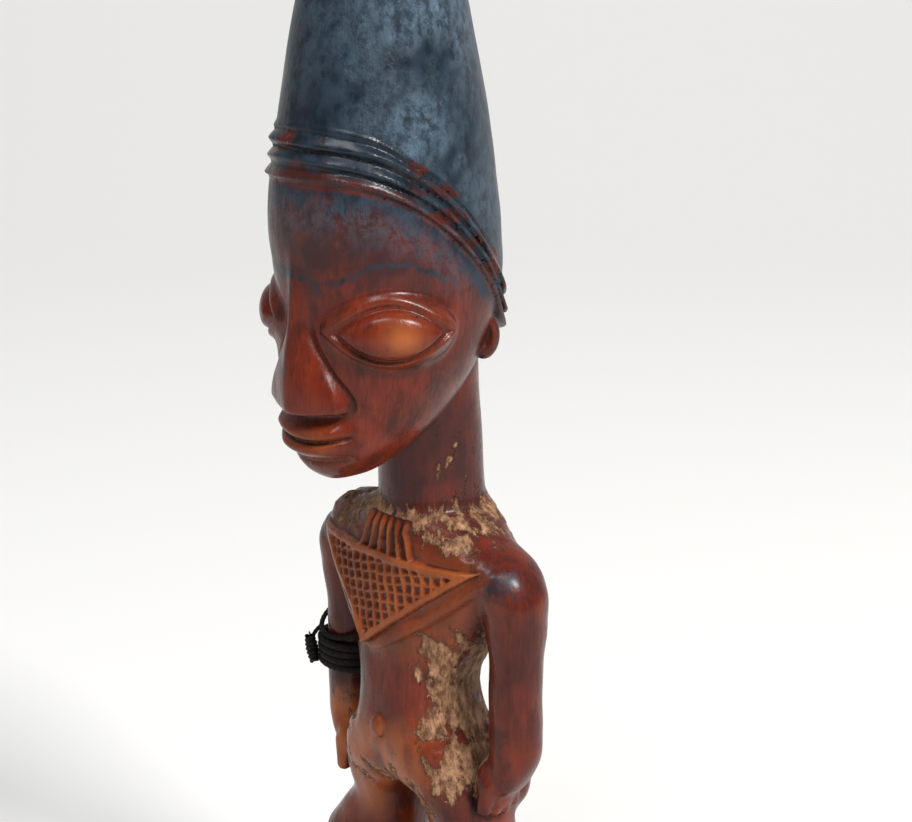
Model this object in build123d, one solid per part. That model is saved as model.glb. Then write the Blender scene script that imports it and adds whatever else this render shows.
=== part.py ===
from build123d import *
import math
import os

# Carved wooden twin figure with a cord armband. Millimetres, +Z up. The figure faces -Y, its
# right arm is on -X, and the origin is on the underside of the base, under the neck and arms.

# ---- driving dimensions -------------------------------------------------------------------
HEIGHT = 300.0  # underside of the base to the tip of the hair

BASE_RADIUS = 37.0
BASE_HEIGHT = 14.0
BASE_Y = -5.0  # the base reaches further forward than the body
BASE_EDGE_ROUNDING = 2.0

CROTCH_Z = 69.0
FOOT_HALF_LENGTH = 17.0
TOE_COUNT = 5

LEFT_ARM_X = 27.8  # the carver made the right arm a little stouter, and further out
LEFT_ARM_RADIUS = 5.6
RIGHT_ARM_X = 29.2
RIGHT_ARM_RADIUS = 6.3
RIGHT_HAND_DROP = 6.0  # the right hand rests lower on the thigh
SHOULDER_Z = 124.0
FINGERTIP_Z = 66.0
FINGER_COUNT = 4
FINGER_PITCH = 2.9

NECK_RADIUS = 12.6

AMULET_CORNERS = [(-27.0, 128.5), (25.0, 128.5), (-4.2, 106.0)]  # it hangs askew
AMULET_PROUD = 1.5
AMULET_GROUND = 0.8  # how far the sunk middle of the amulet stands out
AMULET_OPENING = 0.72  # size of the sunk middle against the whole triangle

EYE_CENTRE = (14.6, -25.6, 185.0)
EYE_TURN = 50.0  # degrees from straight across toward the ear
EYEBALL = (11.2, 9.0, 5.6)  # half sizes: along the eye, outward, up
EYELIDS = (13.2, 7.9, 7.8)

HAIR_Y = -13.6  # the head is carried in front of the neck
HAIR_HALF_DEPTH = 27.4
HAIR_HALF_WIDTH = 22.4
HAIR_WIDEST_Z = 198.0
HAIR_SWELL_POWER = 1.5
HAIR_TIP_POWER = 0.7
HAIR_TIP_FLAT = 1.4  # half the depth of the small flat at the very tip
BAND_PROUD = 1.1
BAND_COUNT = 4
BAND_GROOVE = 0.9
# lower and upper edge of the ridged hair band in side view, from the forehead to the nape
BAND_LOWER_EDGE = [(-44, 215), (-36, 215), (-26, 212), (-14, 203.5), (-5, 194.5), (3, 185), (10, 178.5), (18, 175)]
BAND_UPPER_EDGE = [(-44, 231), (-36, 228), (-26, 224), (-14, 215), (-5, 206), (3, 197.5), (10, 191), (18, 188)]

CORD_RADIUS = 1.0
CORD_CLEARANCE = 0.45  # between the cord and the arm that it is wound on
CORD_PITCH = 1.8
WINDING_TURNS = 4
WINDING_LOWEST_Z = 89.5
LOOSE_CORD_RADIUS = 0.65
LOOSE_LOOP_RADIUS = 8.0
LOOSE_LOOP_Z = 100.1
LOOSE_LOOP_TILT = 24.0  # degrees, higher behind the arm
KNOT_RADIUS = 1.5
KNOT_HEIGHT = 5.0
KNOT_OUT = 10.4  # the knot lies against the outside of the winding
KNOT_BELOW_LOOP = 8.5
KNOT_TIE_RADIUS = 0.55
KNOT_DIRECTION = 227.0  # degrees round the arm from the figure's left, toward its front


# ---- helpers ------------------------------------------------------------------------------
def oval(z, half_width, half_depth, x=0.0, y=0.0):
    """A level elliptical section."""
    return Pos(x, y, z) * Ellipse(half_width, half_depth)


def oval_between(z, half_width, front, back):
    """A level elliptical section on the middle plane, given by its front and back."""
    return oval(z, half_width, (back - front) / 2, 0, (front + back) / 2)


def egg(x, y, z, half_x, half_y, half_z, turn=0.0):
    """An ellipsoid, turned about the vertical."""
    return Pos(x, y, z) * Rot(0, 0, turn) * scale(Sphere(1), by=(half_x, half_y, half_z))


def both_sides(shape):
    """The shape and its mirror image across the figure's middle plane."""
    return [shape, mirror(shape, about=Plane.YZ)]


def through_x(outline):
    """The YZ outline pushed right through the figure from side to side."""
    half_reach = 60
    return extrude(Plane.YZ * make_face(Polyline(*outline, close=True)), half_reach, both=True)


def through_y(outline):
    """The XZ outline pushed out of the figure's front."""
    reach = 60
    return extrude(Plane.XZ * make_face(Polyline(*outline, close=True)), reach)


# ---- carved figure: base, legs and feet ---------------------------------------------------
def base():
    disc = Pos(0, BASE_Y, 0) * extrude(Circle(BASE_RADIUS), BASE_HEIGHT, taper=2)
    return fillet(disc.edges().sort_by(Axis.Z)[-1], BASE_EDGE_ROUNDING)


def leg():
    return loft([
        oval(BASE_HEIGHT - 2, 9.0, 9.5, 17, 3),
        oval(22, 8.6, 9.2, 17, 3),
        oval(30, 11.0, 11.4, 17.8, 2),
        oval(40, 13.2, 11.8, 19.0, -0.6),
        oval(47, 13.4, 11.4, 19.2, -1.0),
        oval(54, 11.4, 10.3, 16.8, -0.5),
        oval(60, 9.8, 10.0, 14.0, -0.2),
        oval(66, 10.2, 11.2, 13.0, -0.8),
        oval(74, 10.0, 12.0, 11.0, -2.4),
        oval(81, 8.4, 11.0, 9.4, -3.0),
    ])


def foot():
    sole = egg(17.5, -8, BASE_HEIGHT - 1, 8.6, FOOT_HALF_LENGTH, 9.0)
    toes = [
        egg(17.5 + 2.9 * (k - (TOE_COUNT - 1) / 2), -23.0 + 0.5 * k, BASE_HEIGHT + 1.0, 1.6, 4.2, 2.6)
        for k in range(TOE_COUNT)
    ]
    for toe in toes:
        sole += toe
    return sole


def buttock():
    return egg(10, 9.5, 69, 11.0, 8.0, 10.0)


# ---- carved figure: body ------------------------------------------------------------------
def trunk(proud=0.0):
    """The trunk, made fuller all round for the carving that stands out of it."""
    sections = [
        (CROTCH_Z, 16.5, -10.0, 12.5),
        (73, 20.2, -14.2, 14.4),
        (78, 20.4, -16.4, 13.8),
        (84, 18.2, -17.4, 11.4),
        (92, 14.6, -17.0, 9.2),
        (98, 14.6, -16.6, 9.0),
        (103, 16.8, -16.0, 9.8),
        (109, 20.2, -15.8, 11.2),
        (115, 23.4, -15.8, 12.4),
        (122, 28.0, -15.0, 12.8),
        (129, 26.6, -13.6, 12.4),
        (134, 20.0, -12.8, 12.2),
        (139.5, NECK_RADIUS + 0.6, -12.0, 12.2),
    ]
    return loft([oval_between(z, w + proud, f - proud, b + proud) for z, w, f, b in sections])


def neck():
    return loft([
        oval(136, NECK_RADIUS, NECK_RADIUS - 0.4),
        oval(150, NECK_RADIUS - 0.5, NECK_RADIUS - 0.5, 0, -0.5),
        oval(176, NECK_RADIUS - 1.0, NECK_RADIUS, 0, -2.0),
    ])


def navel():
    return egg(0, -17.4, 88, 2.6, 1.6, 3.6)


def amulet_outline(size):
    """The point-down triangle, drawn at a size about its centre."""
    centre_x = sum(x for x, _ in AMULET_CORNERS) / len(AMULET_CORNERS)
    centre_z = sum(z for _, z in AMULET_CORNERS) / len(AMULET_CORNERS)
    return [(centre_x + (x - centre_x) * size, centre_z + (z - centre_z) * size) for x, z in AMULET_CORNERS]


def amulet():
    """A triangular amulet with a raised frame round its sunk middle."""
    whole = through_y(amulet_outline(1))
    frame = whole - through_y(amulet_outline(AMULET_OPENING))
    return (whole & trunk(AMULET_GROUND)) + (frame & trunk(AMULET_PROUD))


def necklace_ribs():
    """Short carved strings that run from the neck down to the amulet."""
    count = 6
    pitch = 3.0
    return [
        egg(pitch * (k - (count - 1) / 2), -13.4, 131.5, 0.9, 1.6, 4.8) for k in range(count)
    ]


def arm(x, radius, drop=0.0):
    """An arm from the shoulder to the wrist on the +X side, made longer by the drop."""
    return loft([
        oval(74 - drop, 4.2, 5.6, x - 3.4, -1.0),
        oval(79 - drop, radius - 0.8, radius, x - 1.2, -0.4),
        oval(83 - drop, radius - 0.2, radius, x - 0.2, 0),
        oval(88, radius, radius, x, 0),
        oval(97, radius, radius, x, 0),
        oval(105, radius, radius, x, 0),
        oval(116, radius + 0.6, radius + 1.6, x - 0.2, -0.2),
        oval(SHOULDER_Z, radius + 0.8, radius + 2.4, x - 1.2, -0.4),
        oval(131, 4.0, 5.5, x - 4.6, -0.2),
    ])


def hand(x, drop=0.0):
    """Palm and fingers laid on the thigh, on the +X side."""
    solid = egg(x - 4.2, -1.4, FINGERTIP_Z + 10 - drop, 3.8, 6.2, 7.5)
    for k in range(FINGER_COUNT):
        middle = (FINGER_COUNT - 1) / 2
        y = 2.6 - FINGER_PITCH * k
        solid += egg(x - 3.6, y, FINGERTIP_Z + 5.5 - drop, 3.4, 1.7, 6.0 - 0.5 * abs(k - middle))
    return solid


def right_arm():
    """The stouter, longer arm with the higher shoulder, mirrored over to -X."""
    solid = arm(RIGHT_ARM_X, RIGHT_ARM_RADIUS, RIGHT_HAND_DROP) + hand(RIGHT_ARM_X, RIGHT_HAND_DROP)
    solid += egg(21, -1, 127, 8.5, 8.0, 8.5)
    return mirror(solid, about=Plane.YZ)


# ---- carved figure: head ------------------------------------------------------------------
def face():
    sections = [
        (149.6, 3.4, -31.6, -21.0),
        (152.4, 7.8, -34.8, -17.0),
        (156, 11.6, -36.4, -11.0),
        (161, 14.9, -37.0, -4.0),
        (167.5, 17.9, -37.4, 2.0),
        (176, 20.4, -38.4, 8.0),
        (186, 22.0, -38.0, 12.0),
        (193, 22.5, -38.4, 13.4),
        (202, 22.2, -39.8, 13.4),
        (216, 20.6, -40.6, 12.4),
    ]
    return loft([oval_between(*section) for section in sections])


def nose():
    return loft([
        oval_between(166.2, 12.0, -41.6, -22),
        oval_between(169.5, 12.0, -42.2, -22),
        oval_between(173, 10.4, -42.4, -24),
        oval_between(180, 6.0, -42.0, -26),
        oval_between(194, 2.8, -40.4, -28),
    ])


def mouth():
    upper_lip = egg(0, -30.5, 161.0, 11.6, 8.6, 2.6)
    lower_lip = egg(0, -30.3, 156.8, 10.0, 8.4, 2.6)
    return upper_lip + lower_lip


def eye():
    return egg(*EYE_CENTRE, *EYELIDS, EYE_TURN) + egg(*EYE_CENTRE, *EYEBALL, EYE_TURN)


def ear():
    rim = egg(15.9, 1.0, 178.6, 2.6, 3.7, 5.9, -30)
    hollow = egg(18.4, -0.6, 178.8, 1.4, 2.0, 3.8, -30)
    return rim - hollow


# ---- carved figure: hair ------------------------------------------------------------------
def hair_half_depth(z):
    """Half the depth of the tall cap of hair at a height."""
    rise = max(0.0, (z - HAIR_WIDEST_Z) / (HEIGHT - HAIR_WIDEST_Z))
    return HAIR_HALF_DEPTH * (1 - rise**HAIR_SWELL_POWER) ** HAIR_TIP_POWER


def tall_cap(proud=0.0):
    """The ogive of hair, narrower from side to side than from front to back."""
    nape_z = BAND_LOWER_EDGE[-1][1]
    narrowing = HAIR_HALF_WIDTH / HAIR_HALF_DEPTH
    levels = [nape_z, HAIR_WIDEST_Z, 215, 232, 249, 265, 279, 290, 297]
    depths = [hair_half_depth(z) + proud for z in levels]
    sections = [oval(z, depth * narrowing, depth, 0, HAIR_Y) for z, depth in zip(levels, depths)]
    sections.append(oval(HEIGHT, HAIR_TIP_FLAT * narrowing, HAIR_TIP_FLAT, 0, HAIR_Y))
    return loft(sections)


def hair():
    """The cap above the lower edge of the band, with the band's ridges standing out of it."""
    front = BAND_LOWER_EDGE[0][0]
    back = BAND_LOWER_EDGE[-1][0]
    above = through_x(BAND_LOWER_EDGE + [(back, HEIGHT + 1), (front, HEIGHT + 1)])
    solid = tall_cap() & above
    ridges = []
    for k in range(BAND_COUNT):
        low_share = k / BAND_COUNT
        high_share = (k + 1) / BAND_COUNT
        low = [
            (y, a + (b - a) * low_share)
            for (y, a), (_, b) in zip(BAND_LOWER_EDGE, BAND_UPPER_EDGE)
        ]
        high = [
            (y, a + (b - a) * high_share - BAND_GROOVE)
            for (y, a), (_, b) in zip(BAND_LOWER_EDGE, BAND_UPPER_EDGE)
        ]
        ridges.append(through_x(low + high[::-1]))
    proud_cap = tall_cap(BAND_PROUD)
    for ridge in ridges:
        solid += proud_cap & ridge
    return solid


def carved_figure():
    body = base() + trunk() + neck() + navel() + amulet()
    for rib in necklace_ribs():
        body += rib
    head = face() + nose() + mouth()
    for side in both_sides(eye()) + both_sides(ear()):
        head += side
    for side in both_sides(leg()) + both_sides(foot()) + both_sides(buttock()):
        body += side
    body += arm(LEFT_ARM_X, LEFT_ARM_RADIUS) + hand(LEFT_ARM_X)
    body += right_arm()
    return body + head + hair()


# ---- armband ------------------------------------------------------------------------------
def armband_winding():
    """The turns of cord wound round the right arm, lying against each other."""
    ring_radius = RIGHT_ARM_RADIUS + CORD_CLEARANCE + CORD_RADIUS
    turns = [
        Pos(-RIGHT_ARM_X, 0, WINDING_LOWEST_Z + CORD_PITCH * k) * Torus(ring_radius, CORD_RADIUS)
        for k in range(WINDING_TURNS)
    ]
    band = turns[0]
    for turn in turns[1:]:
        band += turn
    return band


def knot():
    """The bulky knot, upright beside the winding, with the tie that runs up to the loop."""
    solid = Pos(KNOT_OUT, 0, -KNOT_BELOW_LOOP) * Cylinder(KNOT_RADIUS, KNOT_HEIGHT)
    for end in (-KNOT_HEIGHT / 2, KNOT_HEIGHT / 2):
        solid += Pos(KNOT_OUT, 0, end - KNOT_BELOW_LOOP) * Sphere(KNOT_RADIUS)
    tilt = math.radians(LOOSE_LOOP_TILT)
    direction = math.radians(KNOT_DIRECTION)
    loop_z = LOOSE_LOOP_RADIUS * math.sin(direction) * math.sin(tilt)
    knot_top_z = KNOT_HEIGHT / 2 - KNOT_BELOW_LOOP
    across = KNOT_OUT - LOOSE_LOOP_RADIUS
    drop = knot_top_z - loop_z
    lean = math.degrees(math.atan2(across, drop))
    middle = Pos(LOOSE_LOOP_RADIUS + across / 2, 0, loop_z + drop / 2)
    tie = middle * Rot(0, lean, 0) * Cylinder(KNOT_TIE_RADIUS, math.hypot(across, drop))
    return solid + tie


def armband_loose_loop():
    """The slack strand that rises behind the arm, with the knot that ties it."""
    loop = Rot(LOOSE_LOOP_TILT, 0, 0) * Torus(LOOSE_LOOP_RADIUS, LOOSE_CORD_RADIUS)
    tied = Rot(0, 0, KNOT_DIRECTION) * knot()
    return Pos(-RIGHT_ARM_X, 0, LOOSE_LOOP_Z) * (loop + tied)


def main():
    os.makedirs("parts", exist_ok=True)
    export_step(carved_figure(), "parts/carved_figure.step")
    export_step(armband_winding(), "parts/armband_winding.step")
    export_step(armband_loose_loop(), "parts/armband_loose_loop.step")


main()
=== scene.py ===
"""A carved wooden twin figure with a cord armband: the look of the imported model.

The figure is one block of wood, so its visible surface is one skin over a smooth distance
field, built in millimetres: the wood is where the field is below zero. The head is meshed
finer than the body, and the two skins share the neck.
"""

import math

import bpy
import numpy as np
from mathutils import Euler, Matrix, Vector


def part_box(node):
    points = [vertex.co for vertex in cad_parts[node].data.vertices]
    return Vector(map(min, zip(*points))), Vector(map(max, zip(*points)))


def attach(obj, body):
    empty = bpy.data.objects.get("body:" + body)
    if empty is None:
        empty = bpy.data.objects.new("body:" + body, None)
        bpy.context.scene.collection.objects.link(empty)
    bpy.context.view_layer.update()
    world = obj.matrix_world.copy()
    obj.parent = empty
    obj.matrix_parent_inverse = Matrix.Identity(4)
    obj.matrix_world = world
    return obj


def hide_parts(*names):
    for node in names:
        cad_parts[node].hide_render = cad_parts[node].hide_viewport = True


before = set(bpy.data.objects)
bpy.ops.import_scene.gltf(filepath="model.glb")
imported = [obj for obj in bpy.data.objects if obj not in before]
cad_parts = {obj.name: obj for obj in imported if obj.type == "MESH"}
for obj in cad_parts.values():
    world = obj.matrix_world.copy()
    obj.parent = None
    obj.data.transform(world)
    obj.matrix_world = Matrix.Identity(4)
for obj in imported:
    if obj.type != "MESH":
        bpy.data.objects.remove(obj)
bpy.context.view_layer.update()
MM = 0.001

# ---- places and sizes, in millimetres -------------------------------------------------------
FIGURE_LOW, FIGURE_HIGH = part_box("carved_figure")
WINDING_LOW, WINDING_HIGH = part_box("armband_winding")
HEIGHT = FIGURE_HIGH.z / MM
BASE_RADIUS = (FIGURE_HIGH.x - FIGURE_LOW.x) / 2 / MM
BASE_HEIGHT = 14.0
BASE_Y = FIGURE_HIGH.y / MM - BASE_RADIUS
LEFT_ARM_SHIFT = -1.0
RIGHT_ARM_SHIFT = 0.4
RIGHT_ARM_X = 29.2
RIGHT_HAND_DROP = 6.0
CORD_RADIUS = 1.0
WINDING_TURNS = 4

HAIR_Y = -13.6
HAIR_HALF_DEPTH = 27.4
HAIR_HALF_WIDTH = 22.4
HAIR_WIDEST_Z = 198.0

HEAD_GRID = 0.5
BODY_GRID = 0.7
NECK_JOIN_Z = 143.0
NECK_OVERLAP = 2.5


# ---- distance field tools -------------------------------------------------------------------
def blend_union(a, b, reach):
    """Two solids joined with a soft hollow of the given reach where they meet."""
    share = np.clip(0.5 + 0.5 * (b - a) / reach, 0, 1)
    return b + (a - b) * share - reach * share * (1 - share)


def blend_meet(a, b, reach):
    """What two solids have in common, with a rounded edge."""
    return -blend_union(-a, -b, reach)


def bump(value, width):
    """1 at zero, falling to nothing over about twice the width."""
    return np.exp(-((value / width) ** 2))


def step(low, high, value):
    """0 below low, 1 above high, smooth between."""
    t = np.clip((value - low) / (high - low), 0, 1)
    return t * t * (3 - 2 * t)


def waves(p, size, seed):
    """Soft irregularity between about -1 and 1, some `size` across."""
    chance = np.random.default_rng(seed)
    total = np.zeros(len(p))
    for _ in range(6):
        direction = chance.normal(size=3)
        direction *= chance.uniform(0.7, 1.5) * 2 * math.pi / size / np.linalg.norm(direction)
        total += np.sin(p @ direction + chance.uniform(0, 2 * math.pi))
    return total / 3


def through(rows, z):
    """Smooth values through rows of (z, value, value, ...)."""
    rows = np.array(rows, float)
    knots, values = rows[:, 0], rows[:, 1:]
    slopes = np.gradient(values, knots, axis=0)
    z = np.clip(z, knots[0], knots[-1])
    i = np.clip(np.searchsorted(knots, z) - 1, 0, len(knots) - 2)
    gap = (knots[i + 1] - knots[i])[:, None]
    t = (z - knots[i])[:, None] / gap
    start, end = values[i], values[i + 1]
    rise = (3 - 2 * t) * t * t
    return (
        start + (end - start) * rise
        + gap * slopes[i] * t * (1 - t) ** 2
        - gap * slopes[i + 1] * t * t * (1 - t)
    ).T


def column(p, rows, squareness=2.0, edge=2.0):
    """A limb or trunk through rows of (z, half width, front, back, centre x)."""
    half_width, front, back, centre_x = through(rows, p[:, 2])
    half_depth = (back - front) / 2
    u = np.abs(p[:, 0] - centre_x) / half_width + 1e-6
    v = np.abs(p[:, 1] - (front + back) / 2) / half_depth + 1e-6
    radius = (u**squareness + v**squareness) ** (1 / squareness)
    power = squareness - 1
    steepness = np.hypot((u / radius) ** power / half_width, (v / radius) ** power / half_depth)
    side = (radius - 1) / steepness
    ends = np.maximum(rows[0][0] - p[:, 2], p[:, 2] - rows[-1][0])
    return blend_meet(side, ends, edge)


def turned(p, centre, turn):
    """Points seen from the centre, along axes turned about the vertical by some degrees."""
    q = p - np.array(centre)
    cosine, sine = math.cos(math.radians(turn)), math.sin(math.radians(turn))
    return np.stack(
        [q[:, 0] * cosine + q[:, 1] * sine, q[:, 1] * cosine - q[:, 0] * sine, q[:, 2]], 1
    )


def egg(p, centre, radii, turn=0.0):
    """An ellipsoid."""
    q = turned(p, centre, turn) / np.array(radii)
    outer = np.linalg.norm(q, axis=1) + 1e-9
    inner = np.linalg.norm(q / np.array(radii), axis=1) + 1e-9
    return outer * (outer - 1) / inner


def rod(p, start, end, radius):
    """A round-ended rod."""
    start, end = np.array(start, float), np.array(end, float)
    along = end - start
    t = np.clip((p - start) @ along / (along @ along), 0, 1)
    return np.linalg.norm(p - start - t[:, None] * along, axis=1) - radius


def folded(p):
    """The points with the figure's right side folded onto its left."""
    q = p.copy()
    q[:, 0] = np.abs(q[:, 0])
    return q


# ---- head -----------------------------------------------------------------------------------
FACE_ROWS = [
    (149.6, 3.4, -31.6, -21.0, 0),
    (152.4, 7.8, -34.8, -17.0, 0),
    (156.0, 11.6, -36.4, -11.0, 0),
    (161.0, 14.9, -37.0, -4.0, 0),
    (167.5, 17.9, -37.4, 2.0, 0),
    (176.0, 20.4, -38.4, 8.0, 0),
    (186.0, 22.0, -38.0, 12.0, 0),
    (193.0, 22.5, -38.4, 13.4, 0),
    (202.0, 22.2, -39.8, 13.4, 0),
    (214.0, 20.8, -40.0, 12.4, 0),
    (222.0, 19.4, -39.0, 11.0, 0),
]
NECK_ROWS = [
    (128, 13.2, -12.2, 12.4, 0),
    (136, 12.6, -12.2, 12.2, 0),
    (150, 12.1, -12.6, 11.6, 0),
    (166, 11.8, -13.8, 10.4, 0),
    (182, 11.6, -14.0, 10.0, 0),
]
EYE_Z = 185.0
EYE_CENTRE = (14.6, -25.6, EYE_Z)
EYE_TURN = 50.0
EYE_HALF_LENGTH = 11.8
EYE_OFFSET = 0.4
EYE_HALF_HEIGHT = 5.5
LID_MOUND_CENTRE = (14.4, -25.2, EYE_Z - 0.2)
LID_MOUND_RADII = (13.8, 7.9, 8.6)
EYEBALL_RADII = (13.6, 9.0, 8.4)
MOUTH_Z = 160.0
MUZZLE_CENTRE = (0, -28.8, 161.0)
MUZZLE_RADII = (13.0, 9.8, 8.0)
EAR_CENTRE = (15.8, 1.0, 179.6)
EAR_RADII = (2.5, 3.5, 5.6)
EAR_HOLLOW_CENTRE = (18.2, -0.6, 179.8)
EAR_HOLLOW_RADII = (1.8, 2.0, 3.6)
EAR_TURN = -30.0
NOSE_BACK_Y = -24.0
NOSE_TOP_Z = 202.0
NOSTRIL_Z = 166.2
# z, half width, front of the ridge, where the side meets the cheek
NOSE_ROWS = [
    (165.0, 11.2, -41.8, -37.0),
    (168.5, 11.2, -42.4, -37.2),
    (172.0, 10.0, -42.6, -37.4),
    (178.0, 6.8, -42.2, -37.8),
    (184.0, 3.8, -41.6, -38.2),
    (192.0, 2.8, -40.8, -38.0),
    (204.0, 2.6, -39.6, -38.6),
]
# z, half width of the wings of the nose
WING_ROWS = [(166.0, 11.3), (169.5, 11.2), (177, 7.6), (184, 3.6), (190, 3.2)]

# lower and upper edge of the hair band in side view: y, lower z, upper z
BAND_EDGES = [
    (-46, 215.4, 231),
    (-38, 215.6, 228.6),
    (-30, 213.6, 226),
    (-22, 209.6, 220.6),
    (-14, 203.5, 214.6),
    (-5.5, 195.2, 206.0),
    (3, 185.4, 197.6),
    (9, 179.4, 192),
    (18, 175, 188),
]
# the band's ridges from the lowest up: edges as shares of the band's height, then heights
RIDGE_EDGES = [0, 0.27, 0.54, 0.83, 1.0]
RIDGE_HEIGHTS = [1.25, 1.4, 1.4, 0.45]


def hair_half_depth(z):
    """Half the cap's depth, which draws in to the tip."""
    rise = np.clip((z - HAIR_WIDEST_Z) / (HEIGHT - HAIR_WIDEST_Z), 0, 1)
    return HAIR_HALF_DEPTH * (1 - rise**1.5) ** 0.7


def eye_place(p):
    """Along the eye, outward, up, and how far outside the almond line between the lids."""
    q = turned(folded(p), EYE_CENTRE, EYE_TURN)
    along, up = q[:, 0] - EYE_OFFSET, q[:, 2]
    bow = np.clip(1 - (along / EYE_HALF_LENGTH) ** 2, -0.6, 1)
    outside = np.abs(up) - EYE_HALF_HEIGHT * bow
    slope = 2 * EYE_HALF_HEIGHT * along / EYE_HALF_LENGTH**2
    return along, -q[:, 1], up, outside / np.hypot(1, slope)


def mouth_line(x):
    """Height of the line between the lips."""
    return MOUTH_Z + 0.014 * x**2


def face_relief(p):
    """How far the carved lines of the face stand out of it or cut into it."""
    x, y, z = p.T
    side = np.abs(x)
    front = step(-24, -30, y)
    # eyelids round the eyeball
    along, outward, up, outside = eye_place(p)
    near_eye = step(17, 13.5, np.abs(along)) * step(-2, 2, outward)
    lid_middle = 1.1 + 0.7 * step(-2, 2, up)
    lid_width = 0.7 + 0.5 * step(-2, 2, up)
    relief = near_eye * (
        0.70 * bump(outside - lid_middle, lid_width) - 0.30 * bump(outside, 0.8)
    )
    relief -= near_eye * 0.25 * bump(outside - 3.8, 1.0) * step(-1, 1, up)
    # lips
    above = z - mouth_line(x)
    lips = front * step(11.5, 8.5, side)
    relief += lips * 1.25 * bump(above - 1.7, 1.5)
    relief += lips * step(11, 5, side) * 1.3 * bump(above + 2.0, 1.4)
    relief -= front * step(12.5, 10.0, side) * bump(above, 0.6)
    relief -= lips * 0.8 * bump(above + 4.4, 0.9)
    relief -= lips * 0.35 * bump(above - 5.2, 1.2)
    # the crease that bounds the wing of the nose
    beside = side - through(WING_ROWS, z)[0]
    relief -= front * 0.65 * bump(beside - 0.3, 0.7) * step(166.6, 168.6, z) * step(188, 182, z)
    return relief


def nose(p):
    """A low, broad wedge with a ridge down its middle."""
    x, y, z = p.T
    half_width, ridge, foot = through(NOSE_ROWS, z)
    side = np.sqrt(x**2 + 1.4**2) - 1.4 * 0.4
    fall = foot - ridge
    length = np.hypot(fall, half_width)
    plane = (side * fall - (y - ridge) * half_width) / length
    wedge = blend_meet(plane, side - half_width - 0.3, 1.6)
    underside = NOSTRIL_Z + 0.010 * x**2 - z
    solid = blend_meet(wedge, underside, 0.9)
    return np.maximum(solid, np.maximum(y - NOSE_BACK_Y, z - NOSE_TOP_Z))


def ear(p):
    """A small scooped ear."""
    q = folded(p)
    shell = egg(q, EAR_CENTRE, EAR_RADII, EAR_TURN)
    hollow = egg(q, EAR_HOLLOW_CENTRE, EAR_HOLLOW_RADII, EAR_TURN)
    return blend_meet(shell, -hollow, 0.6)


def face(p):
    """Skull, muzzle, eyes, nose and ears."""
    skull = column(p, FACE_ROWS, 2.1, 3.0)
    skull = blend_union(skull, egg(p, MUZZLE_CENTRE, MUZZLE_RADII), 2.4)
    q = folded(p)
    # the mound of the lids, and the eyeball that bulges out of it
    mound = egg(q, LID_MOUND_CENTRE, LID_MOUND_RADII, EYE_TURN)
    ball = egg(q, EYE_CENTRE, EYEBALL_RADII, EYE_TURN)
    skull = blend_union(skull, mound, 2.2)
    outside = eye_place(p)[3]
    skull = np.minimum(skull, blend_meet(ball, outside - 0.3, 2.0))
    skull = blend_union(skull, nose(p), 1.0)
    skull = skull - face_relief(p)
    return np.minimum(skull, ear(p))


def band_share(p):
    """Share of the way up the hair band (0 at its lower edge, 1 at its upper), and that edge."""
    rows = np.array(BAND_EDGES)
    low, high = through(rows, p[:, 1])
    return (p[:, 2] - low) / (high - low), low


def band_angle(p):
    """Degrees round the head from the front."""
    return np.degrees(np.arctan2(p[:, 0], -(p[:, 1] - HAIR_Y)))


def band_relief(p):
    """Bevelled ridges, cut with long flat facets; the topmost is only a faint line."""
    share = band_share(p)[0]
    angle = band_angle(p)
    edges = np.array(RIDGE_EDGES)
    row = np.clip(np.searchsorted(edges, share, side="right") - 1, 0, len(edges) - 2)
    within = np.clip((share - edges[row]) / (edges[row + 1] - edges[row]), 0, 1)
    crest = 0.36 + 0.10 * np.sin(angle / 17 + 2 * row)
    ridge = np.clip(np.minimum(within / crest, (1 - within) / (1 - crest)), 0, 1)
    facet = np.abs(2 * ((angle / 31 + 0.3 * row) % 1) - 1)
    height = np.array(RIDGE_HEIGHTS)[row] * (0.72 + 0.45 * facet)
    inside = step(-0.05, 0.05, share) * step(1.05, 0.95, share)
    return inside * height * (1 - (1 - ridge) ** 1.3)


def hair(p):
    """The tall cap, down to the lower edge of its band."""
    z = p[:, 2]
    half_depth = np.maximum(hair_half_depth(z), 0.05)
    half_width = half_depth * HAIR_HALF_WIDTH / HAIR_HALF_DEPTH
    u = p[:, 0] / half_width
    v = (p[:, 1] - HAIR_Y) / half_depth
    radius = np.hypot(u, v) + 1e-6
    steepness = np.hypot(u / radius / half_width, v / radius / half_depth)
    slope = hair_half_depth(z - 1) - half_depth
    side = (radius - 1) / steepness / np.sqrt(1 + slope**2)
    tip = egg(p, (0, HAIR_Y, HEIGHT - 6.5), (4.6, 5.6, 6.5))
    solid = np.where(z > HEIGHT - 5, np.maximum(side, tip), side)
    low = band_share(p)[1]
    facets = 0.14 * waves(p, 26, 3) + 0.05 * waves(p, 9, 4)
    above = (low - z) * 0.78
    return blend_meet(solid - band_relief(p) - facets, above, 0.8)


def head(p):
    """Face, neck and hair, down to where the body's skin takes over."""
    tool_marks = 0.10 * waves(p, 18, 1) + 0.04 * waves(p, 6, 2)
    solid = face(p) - tool_marks
    solid = np.minimum(solid, column(p, NECK_ROWS, 2.0, 1.0) - 0.15 * waves(p, 15, 5))
    return np.maximum(np.minimum(solid, hair(p)), NECK_JOIN_Z - NECK_OVERLAP - p[:, 2])


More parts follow.
